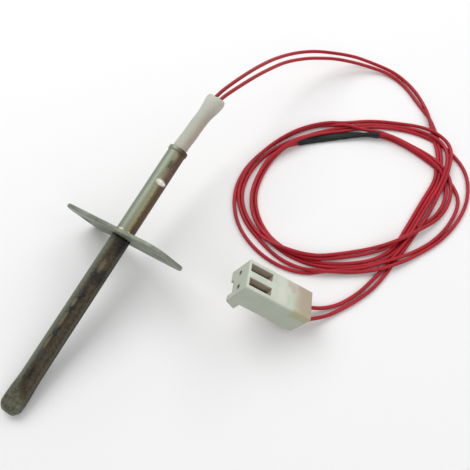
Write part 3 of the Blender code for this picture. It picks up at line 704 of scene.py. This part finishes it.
def sleeveMesh():
    s = sleeveSettings
    middles, sides = [], []
    for path in leadPaths:
        chosen = np.flatnonzero(shrinkStretch(path))
        piece = path[chosen]
        share = np.linspace(0, len(piece) - 1, s["rings"])
        piece = np.stack([np.interp(share, np.arange(len(piece)), piece[:, k]) for k in range(3)], 1)
        middles.append(piece)
    middle = (middles[0] + middles[1]) / 2
    apart = middles[1] - middles[0]
    for _ in range(30):
        middle[1:-1] = (middle[:-2] + 2 * middle[1:-1] + middle[2:]) / 4
        apart[1:-1] = (apart[:-2] + 2 * apart[1:-1] + apart[2:]) / 4
    along = np.gradient(middle, axis=0)
    along /= np.linalg.norm(along, axis=1)[:, None]
    apart -= along * (apart * along).sum(1)[:, None]
    half = np.linalg.norm(apart, axis=1) / 2
    side = apart / (2 * half)[:, None]
    lift = np.cross(along, side)
    wall = leadSettings["radius"] + shrinkSettings["wall"]
    run = np.linspace(0, 1, s["rings"])
    length = float(np.linalg.norm(np.diff(middle, axis=0), axis=1).sum())
    fromEnd = np.minimum(run, 1 - run) * length
    roll = np.clip(fromEnd / s["endRoll"], 0, 1)
    size = wall - (shrinkSettings["wall"] - s["grip"]) * (1 - np.sqrt(1 - (1 - roll) ** 2))
    # small rings left by heating
    size = size + 0.035 * mm * np.sin(run * 34) * np.sin(run * 13 + 1) * ease(fromEnd / (2 * mm))
    turn = np.arange(s["around"]) * (2 * math.pi / s["around"])
    spread = np.clip(np.cos(turn) * 1.8, -1, 1)
    sideways = half[:, None] * spread + size[:, None] * np.cos(turn)
    upward = size[:, None] * np.sin(turn)
    grid = middle[:, None] + side[:, None] * sideways[..., None] + lift[:, None] * upward[..., None]
    grid[..., 2] = np.maximum(grid[..., 2], 0.02 * mm)
    return faceOutward(surfaceMesh("shrinkSkin", grid, capStart=True, capEnd=True))


# finishes of the probe

def acrossTube(tree):
    # how far to the right a place on the tube lies for a viewer facing it, from -1 to 1
    station, cosine, sine = axesOf(tree, storedVector(tree, "axial"))
    right = mathOf(tree, "SUBTRACT", mathOf(tree, "MULTIPLY", cosine, 0.9135), mathOf(tree, "MULTIPLY", sine, 0.4067))
    return station, cosine, sine, right


def patchOf(tree, station, right, middle, halfLength, side, halfWidth, rag):
    # soft-edged patch: 1 in the middle and 0 outside an oval, its edge broken up by the rag
    along = mathOf(tree, "DIVIDE", mathOf(tree, "SUBTRACT", station, middle), halfLength)
    aside = mathOf(tree, "DIVIDE", mathOf(tree, "SUBTRACT", right, side), halfWidth)
    far = mathOf(tree, "ADD", mathOf(tree, "MULTIPLY", along, along), mathOf(tree, "MULTIPLY", aside, aside))
    far = mathOf(tree, "ADD", far, mathOf(tree, "MULTIPLY", mathOf(tree, "SUBTRACT", rag, 0.5), 5.0))
    return rampOf(tree, far, 0.30, 1.25, 1.0, 0.0)


sheathPatches = (
    # colour and strength, then (station, half length, side, half width) in millimetres and tube radii
    ((0.014, 0.014, 0.014), 0.90, ((35.8, 2.3, 0.15, 0.75), (30.4, 2.1, -0.15, 0.36), (20.4, 1.7, -0.34, 0.24),
                                   (26.6, 1.5, -0.22, 0.26), (9.6, 1.7, -0.15, 0.26), (45.2, 3.0, 0.45, 0.50))),
    ((0.22, 0.19, 0.10), 0.55, ((38.6, 2.0, -0.10, 0.24), (28.0, 1.2, -0.42, 0.16), (23.2, 2.4, -0.42, 0.14),
                                (17.2, 2.0, -0.48, 0.12))),
    ((0.045, 0.055, 0.085), 0.60, ((30.6, 1.0, -0.36, 0.16), (14.4, 1.5, -0.36, 0.20), (20.6, 1.0, -0.44, 0.14))),
)


def sheathMaterial():
    finish, tree, shader = newMaterial("heatStainedSteelAndPaintedShade")
    station, cosine, sine, right = acrossTube(tree)
    place = vectorOf(tree, mathOf(tree, "MULTIPLY", station, 0.42), cosine, sine)
    fine = noiseOf(tree, place, 3.4, detail=6.0, roughness=0.62)
    grain = noiseOf(tree, vectorOf(tree, mathOf(tree, "MULTIPLY", station, 1.1), cosine, sine), 5.0, detail=6.0, roughness=0.7)
    broad = noiseOf(tree, vectorOf(tree, mathOf(tree, "MULTIPLY", station, 0.13), cosine, sine), 1.6, detail=2.0)
    # the part in front of the flange is grey-green on its left and brown in the middle, partly heat tint and partly
    # painted shade where the tube turns from the light
    wobble = mathOf(tree, "MULTIPLY", mathOf(tree, "SUBTRACT", fine, 0.5), 0.5)
    side = mathOf(tree, "ADD", right, wobble)
    grey = mixOf(tree, broad, (0.17, 0.19, 0.13), (0.12, 0.135, 0.09))
    brown = mixOf(tree, rampOf(tree, fine, 0.38, 0.62), (0.036, 0.028, 0.017), (0.078, 0.055, 0.031))
    lower = mixOf(tree, rampOf(tree, side, -0.85, -0.40), grey, brown)
    # painted highlight: a paler strip near the tube's right side
    lower = mixOf(tree, rampOf(tree, side, 0.55, 0.72), lower, (0.085, 0.080, 0.052))
    # painted shade: the tube's far right edge darkened
    lower = mixOf(tree, rampOf(tree, right, 0.80, 0.93), lower, (0.022, 0.020, 0.013))
    # dark mottles gather along the border between the two
    border = mathOf(tree, "MULTIPLY", rampOf(tree, right, -0.75, -0.45), rampOf(tree, right, -0.05, 0.35, 1.0, 0.0))
    mottle = mathOf(tree, "MULTIPLY", border, rampOf(tree, fine, 0.50, 0.60))
    lower = mixOf(tree, mathOf(tree, "MULTIPLY", mottle, 0.7), lower, (0.022, 0.024, 0.018))
    flecks = mathOf(tree, "MULTIPLY", border, rampOf(tree, grain, 0.56, 0.66))
    lower = mixOf(tree, mathOf(tree, "MULTIPLY", flecks, 0.6), lower, (0.20, 0.185, 0.105))
    for colour, strength, patches in sheathPatches:
        for middle, halfLength, at, halfWidth in patches:
            spot = patchOf(tree, station, right, middle, halfLength, at, halfWidth, grain)
            lower = mixOf(tree, mathOf(tree, "MULTIPLY", spot, strength), lower, colour)
    # behind the flange it is paler, with a straw band towards the middle that is a painted highlight, and browner on
    # its right, partly heat tint and partly painted shade
    brownTintAndShade = rampOf(tree, side, 0.05, 0.50)
    pale = mixOf(tree, broad, (0.22, 0.255, 0.195), (0.27, 0.29, 0.215))
    # painted highlight: the straw band along the middle of the tube
    upper = mixOf(tree, rampOf(tree, side, -0.35, 0.05), pale, (0.30, 0.29, 0.17))
    # brown on the right: heat tint darkened by painted shade
    upper = mixOf(tree, brownTintAndShade, upper, (0.125, 0.080, 0.045))
    rosy = patchOf(tree, station, right, 66.4, 2.6, 0.35, 0.5, grain)
    upper = mixOf(tree, mathOf(tree, "MULTIPLY", rosy, 0.6), upper, (0.20, 0.12, 0.10))
    smudge = patchOf(tree, station, right, 68.6, 1.5, 0.15, 0.32, grain)
    upper = mixOf(tree, mathOf(tree, "MULTIPLY", smudge, 0.75), upper, (0.055, 0.055, 0.04))
    # painted shadow: a dark band on the tube just under the rolled lip at its mouth
    lipShadow = patchOf(tree, station, right, 73.0, 1.4, 0.35, 0.5, grain)
    upper = mixOf(tree, mathOf(tree, "MULTIPLY", lipShadow, 0.75), upper, (0.06, 0.045, 0.035))
    colour = mixOf(tree, rampOf(tree, station, 46.8, 47.6), lower, upper)
    # the pressed tip is painted a flatter grey-green across its width, the lit tone of its flattened face turned
    # towards the light, with a brown smear
    tipEdge = mathOf(tree, "ADD", station, mathOf(tree, "MULTIPLY", right, 2.6))
    tip = rampOf(tree, mathOf(tree, "ADD", tipEdge, mathOf(tree, "MULTIPLY", fine, 2.0)), 4.2, 6.8, 1.0, 0.0)
    # painted light: the lit grey-green of the flat face, mixed with a real brown smear
    litTipToneAndSmear = mixOf(tree, rampOf(tree, fine, 0.45, 0.62), (0.135, 0.145, 0.10), (0.085, 0.072, 0.045))
    colour = mixOf(tree, tip, colour, litTipToneAndSmear)
    # the dent is polished bare
    bare = patchOf(tree, station, right, 63.5, 0.85, 0.30, 0.62, 0.5)
    colour = mixOf(tree, bare, colour, (0.95, 0.92, 0.84))
    rough = rampOf(tree, grain, 0.3, 0.75, 0.42, 0.58)
    bump = bumpOf(tree, grain, 0.03 * mm, 0.55)
    finishWith(tree, shader, colour=colour, metal=mathOf(tree, "ADD", 0.55, mathOf(tree, "MULTIPLY", bare, 0.3)),
               rough=mathOf(tree, "SUBTRACT", rough, mathOf(tree, "MULTIPLY", bare, 0.12)), normal=bump)
    return finish


def flangeMaterial():
    finish, tree, shader = newMaterial("flangePlateSteel")
    point = objectPoint(tree)
    fine = noiseOf(tree, point, 900.0, detail=6.0, roughness=0.65)
    broad = noiseOf(tree, point, 160.0, detail=3.0)
    x, y, z = axesOf(tree, point)
    scuffed = noiseOf(tree, vectorOf(tree, mathOf(tree, "MULTIPLY", x, 0.35), y, z), 700.0, detail=4.0)
    colour = mixOf(tree, rampOf(tree, broad, 0.35, 0.65), (0.20, 0.225, 0.17), (0.30, 0.32, 0.255))
    colour = mixOf(tree, rampOf(tree, scuffed, 0.56, 0.70, 0.0, 0.75), colour, (0.09, 0.085, 0.06))
    colour = mixOf(tree, rampOf(tree, fine, 0.62, 0.75, 0.0, 0.5), colour, (0.07, 0.07, 0.05))
    finishWith(tree, shader, colour=colour, metal=0.6, rough=rampOf(tree, broad, 0.3, 0.7, 0.42, 0.56),
               normal=bumpOf(tree, fine, 0.02 * mm, 0.5))
    return finish


def weldMaterial():
    finish, tree, shader = newMaterial("weldBeadMetal")
    fine = noiseOf(tree, objectPoint(tree), 1500.0, detail=4.0)
    colour = mixOf(tree, rampOf(tree, fine, 0.35, 0.65), (0.95, 0.91, 0.80), (0.70, 0.62, 0.46))
    finishWith(tree, shader, colour=colour, metal=0.55, rough=0.30, normal=bumpOf(tree, fine, 0.04 * mm, 0.5))
    return finish


def braidMaterial():
    finish, tree, shader = newMaterial("glassBraid")
    station, cosine, sine, right = acrossTube(tree)
    place = vectorOf(tree, mathOf(tree, "MULTIPLY", station, 0.5), cosine, sine)
    fine = noiseOf(tree, place, 14.0, detail=5.0, roughness=0.7)
    broad = noiseOf(tree, place, 1.4, detail=2.0)
    pale = mixOf(tree, broad, (0.44, 0.475, 0.385), (0.49, 0.51, 0.43))
    warm = mixOf(tree, rampOf(tree, right, -0.25, 0.6), pale, (0.46, 0.385, 0.315))
    colour = mixOf(tree, rampOf(tree, station, 83.0, 89.5), warm, (0.56, 0.565, 0.50))
    colour = mixOf(tree, rampOf(tree, fine, 0.3, 0.7, 0.28, 0.0), colour, (0.26, 0.25, 0.20))
    finishWith(tree, shader, colour=colour, rough=0.72, normal=bumpOf(tree, fine, 0.03 * mm, 0.5), sheen=0.15,
               seeThrough=0.12, depth=0.4 * mm)
    return finish


def shrinkMaterial():
    finish, tree, shader = newMaterial("blackHeatShrink")
    fine = noiseOf(tree, objectPoint(tree), 900.0, detail=4.0)
    colour = mixOf(tree, fine, (0.006, 0.012, 0.011), (0.012, 0.020, 0.018))
    finishWith(tree, shader, colour=colour, rough=rampOf(tree, fine, 0.3, 0.7, 0.34, 0.48), shine=0.22,
               normal=bumpOf(tree, fine, 0.02 * mm, 0.4))
    return finish


def housingPoint(tree):
    # distances in millimetres from the housing's corner along its length, width and height
    point = objectPoint(tree)
    corner = housingToFrame([(0.0, 0.0, 0.0)])[0]
    spots = []
    for axis in np.eye(3):
        node = tree.nodes.new("ShaderNodeVectorMath")
        node.operation = "DOT_PRODUCT"
        direction = housingToFrame([axis])[0] - corner
        setInput(tree, node.inputs[0], point)
        node.inputs[1].default_value = (direction / mm).tolist()
        spots.append(mathOf(tree, "SUBTRACT", node.outputs["Value"], float(direction @ corner) / mm))
    return spots


def nylonMaterial():
    finish, tree, shader = newMaterial("offWhiteNylon")
    point = objectPoint(tree)
    along, aside, up = housingPoint(tree)
    fine = noiseOf(tree, point, 700.0, detail=4.0)
    broad = noiseOf(tree, point, 260.0, detail=3.0)
    rag = mathOf(tree, "MULTIPLY", mathOf(tree, "SUBTRACT", broad, 0.5), 5.0)
    colour = mixOf(tree, rampOf(tree, broad, 0.3, 0.7), (0.50, 0.56, 0.45), (0.58, 0.62, 0.53))
    # greyer on all faces below the upper face, painted shade on the sides turned from the light, and warm stains on the
    # wire half of the upper face
    # painted shade: the sides below the upper face are greyer than the top
    low = rampOf(tree, up, 6.6, 7.3, 1.0, 0.0)
    colour = mixOf(tree, mathOf(tree, "MULTIPLY", low, 0.6), colour, (0.36, 0.39, 0.315))
    onTop = rampOf(tree, up, 7.0, 7.35)
    paleBand = mathOf(tree, "MULTIPLY", onTop, patchOf(tree, along, aside, 9.8, 1.5, 4.0, 5.0, broad))
    colour = mixOf(tree, mathOf(tree, "MULTIPLY", paleBand, 0.5), colour, (0.68, 0.67, 0.60))
    warm = mathOf(tree, "MULTIPLY", onTop, rampOf(tree, mathOf(tree, "ADD", along, rag), 12.0, 16.5))
    colour = mixOf(tree, mathOf(tree, "MULTIPLY", warm, 0.85), colour, (0.40, 0.31, 0.22))
    rosy = mathOf(tree, "MULTIPLY", onTop, patchOf(tree, along, aside, 12.3, 1.8, 6.6, 1.6, broad))
    colour = mixOf(tree, mathOf(tree, "MULTIPLY", rosy, 0.4), colour, (0.50, 0.24, 0.19))
    yellow = mathOf(tree, "MULTIPLY", rampOf(tree, along, 12.5, 14.5), rampOf(tree, up, 4.2, 5.6))
    yellow = mathOf(tree, "MULTIPLY", yellow, rampOf(tree, aside, 0.3, 0.9, 1.0, 0.0))
    colour = mixOf(tree, mathOf(tree, "MULTIPLY", yellow, 0.8), colour, (0.40, 0.38, 0.21))
    # painted reflection: the walls inside the windows carry the colour of the contacts, as light bounced off them
    contactReflectionMask = mathOf(tree, "MULTIPLY", rampOf(tree, up, 7.0, 7.3, 1.0, 0.0), rampOf(tree, aside, 0.7, 1.0))
    contactReflectionMask = mathOf(tree, "MULTIPLY", contactReflectionMask, rampOf(tree, aside, 7.0, 7.3, 1.0, 0.0))
    contactReflectionMask = mathOf(tree, "MULTIPLY", contactReflectionMask, rampOf(tree, along, 0.35, 0.6))
    colour = mixOf(tree, mathOf(tree, "MULTIPLY", contactReflectionMask, 0.8), colour, (0.46, 0.36, 0.28))
    bevel = tree.nodes.new("ShaderNodeBevel")
    bevel.samples = 8
    bevel.inputs["Radius"].default_value = 0.3 * mm
    bump = tree.nodes.new("ShaderNodeBump")
    bump.inputs["Distance"].default_value = 0.015 * mm
    bump.inputs["Strength"].default_value = 0.4
    setInput(tree, bump.inputs["Height"], fine)
    setInput(tree, bump.inputs["Normal"], bevel.outputs[0])
    finishWith(tree, shader, colour=colour, rough=rampOf(tree, fine, 0.3, 0.7, 0.34, 0.46), normal=bump.outputs[0],
               seeThrough=0.2, depth=0.8 * mm)
    return finish


def contactMaterial():
    # tinned brass with the dark open seam along its near side
    finish, tree, shader = newMaterial("tinnedContact")
    along, aside, up = housingPoint(tree)
    fine = noiseOf(tree, objectPoint(tree), 1100.0, detail=4.0)
    colour = mixOf(tree, rampOf(tree, fine, 0.3, 0.7), (0.42, 0.29, 0.20), (0.55, 0.42, 0.31))
    pitch, middle = housingSettings["pitch"], housingSettings["size"][1] / 2
    for at in ((middle - pitch / 2) / mm, (middle + pitch / 2) / mm):
        fromMiddle = mathOf(tree, "SUBTRACT", aside, at)
        seam = mathOf(tree, "MULTIPLY", rampOf(tree, fromMiddle, -1.3, -1.2), rampOf(tree, fromMiddle, -0.25, 0.0, 1.0, 0.0))
        colour = mixOf(tree, mathOf(tree, "MULTIPLY", seam, 0.92), colour, (0.035, 0.022, 0.014))
    finishWith(tree, shader, colour=colour, metal=0.6, rough=rampOf(tree, fine, 0.3, 0.7, 0.34, 0.5),
               normal=bumpOf(tree, fine, 0.01 * mm, 0.4))
    return finish


def plainMaterial(name, first, second, scale, rough, metal=0.0):
    # mottled between two colours, for pieces that are mostly out of sight
    finish, tree, shader = newMaterial(name)
    fine = noiseOf(tree, objectPoint(tree), scale, detail=4.0)
    finishWith(tree, shader, colour=mixOf(tree, rampOf(tree, fine, 0.3, 0.7), first, second), metal=metal,
               rough=rampOf(tree, fine, 0.3, 0.7, rough, rough + 0.12), normal=bumpOf(tree, fine, 0.01 * mm, 0.4))
    return finish


sheathSkin = addPiece("sheathSkin", sheathMesh(), sheathMaterial(), "stained_steel", "sheath_tube")
flangePlate = addPiece("flangePlate", flangeMesh(), flangeMaterial(), "flange_steel", "mounting_flange")
for count, side in enumerate((-1, 1)):
    cutter = bpy.data.objects.new(f"holeCutter{count}", holeCutter(side))
    bpy.context.scene.collection.objects.link(cutter)
    cutter.hide_render = True
    cutter.hide_viewport = True
    hole = flangePlate.modifiers.new(f"screwHole{count}", "BOOLEAN")
    hole.object = cutter
    hole.solver = "EXACT"
print("sheath and flange ready")
beadFinish = weldMaterial()
for count, bead in enumerate(beadSettings["beads"]):
    addPiece(f"weldBead{count}", beadMesh(count, *bead), beadFinish, "weld_metal", f"flange_tack_{count + 1}")
braidSkin = addPiece("braidSkin", braidMesh(), braidMaterial(), "glass_fibre", "braided_sleeve")
heatShrink = addPiece("shrinkSkin", sleeveMesh(), shrinkMaterial(), "black_shrink", "heat_shrink_sleeve")
print("beads, braid and heat shrink ready")

ceramicFinish = plainMaterial("whiteCeramic", (0.82, 0.80, 0.74), (0.88, 0.86, 0.80), 600.0, 0.5)
powderFinish = plainMaterial("fillPowder", (0.74, 0.70, 0.60), (0.84, 0.80, 0.72), 2400.0, 0.85)
legFinish = plainMaterial("legWire", (0.72, 0.71, 0.69), (0.80, 0.79, 0.76), 900.0, 0.28, 1.0)
spliceFinish = plainMaterial("spliceMetal", (0.72, 0.56, 0.42), (0.80, 0.66, 0.52), 900.0, 0.32, 1.0)
glassFinish = plainMaterial("glassFibre", (0.80, 0.79, 0.72), (0.88, 0.87, 0.82), 1600.0, 0.7)
cementFinish = plainMaterial("mouthCement", (0.46, 0.47, 0.40), (0.62, 0.62, 0.54), 1800.0, 0.85)
tinFinish = contactMaterial()
nodeFinishes = {
    "sensor_chip": ceramicFinish, "ceramic_insulator": ceramicFinish, "tip_filling": powderFinish,
    "sensor_leg_a": legFinish, "sensor_leg_b": legFinish, "splice_crimp_a": spliceFinish, "splice_crimp_b": spliceFinish,
    "splice_sleeve_a": glassFinish, "splice_sleeve_b": glassFinish, "mouth_seal": cementFinish,
    "inner_lead_a": redFinish, "inner_lead_b": redFinish, "connector_housing": nylonMaterial(),
    "contact_a": tinFinish, "contact_b": tinFinish,
}
for name, finish in nodeFinishes.items():
    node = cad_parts[name]
    for place in node.material_slots:
        place.material = finish
print("node finishes ready")

# floor

floorMesh = bpy.data.meshes.new("floor")
floorMesh.from_pydata([(-3, -3, 0), (3, -3, 0), (3, 3, 0), (-3, 3, 0)], [], [(0, 1, 2, 3)])
floor = bpy.data.objects.new("floor", floorMesh)
bpy.context.scene.collection.objects.link(floor)
floorFinish, floorTree, floorShader = newMaterial("paleFloor")
finishWith(floorTree, floorShader, colour=(0.86, 0.86, 0.86), rough=0.9)
floorMesh.materials.append(floorFinish)
